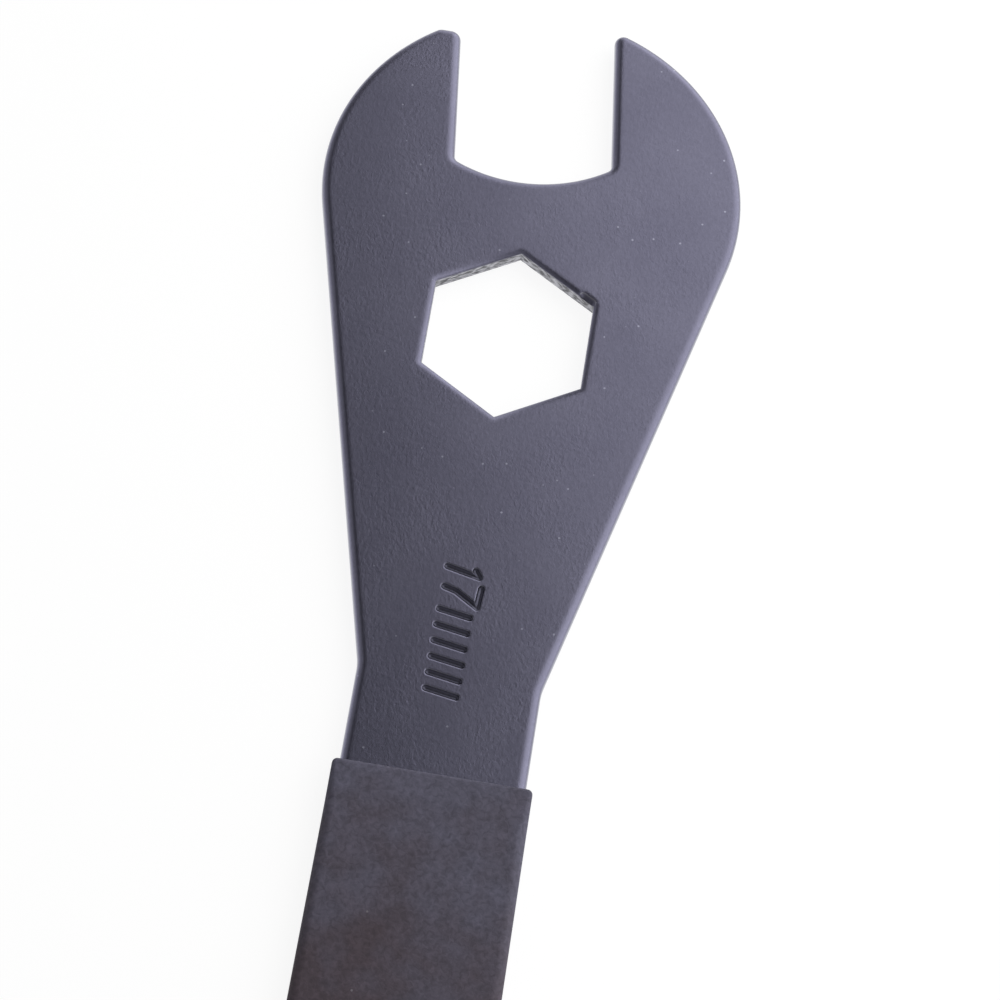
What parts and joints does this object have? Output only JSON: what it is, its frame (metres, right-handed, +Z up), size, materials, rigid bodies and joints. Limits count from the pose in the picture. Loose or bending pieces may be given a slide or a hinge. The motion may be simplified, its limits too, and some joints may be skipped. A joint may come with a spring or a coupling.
{
  "type": "cone spanner",
  "caption": "Thin flat open-ended spanner for bicycle hub cones, with an angled jaw, a hexagon hole in its head and a rubber-sleeved handle.",
  "frame": {"origin": "middle of the spanner's length and width, on the plane that the underside of the grip rests on", "axes": "+Y along the handle towards the jaw, +X across the blank, +Z up through its thickness"},
  "size_m": [0.0454, 0.19, 0.0036],
  "materials": {
    "coated_steel": "satin blue-grey coating over steel",
    "grip_rubber": "matte, finely mottled charcoal"
  },
  "bodies": {
    "root": {"spanner_blank": "coated_steel", "grip_sleeve": "grip_rubber"}
  },
  "joints": []
}
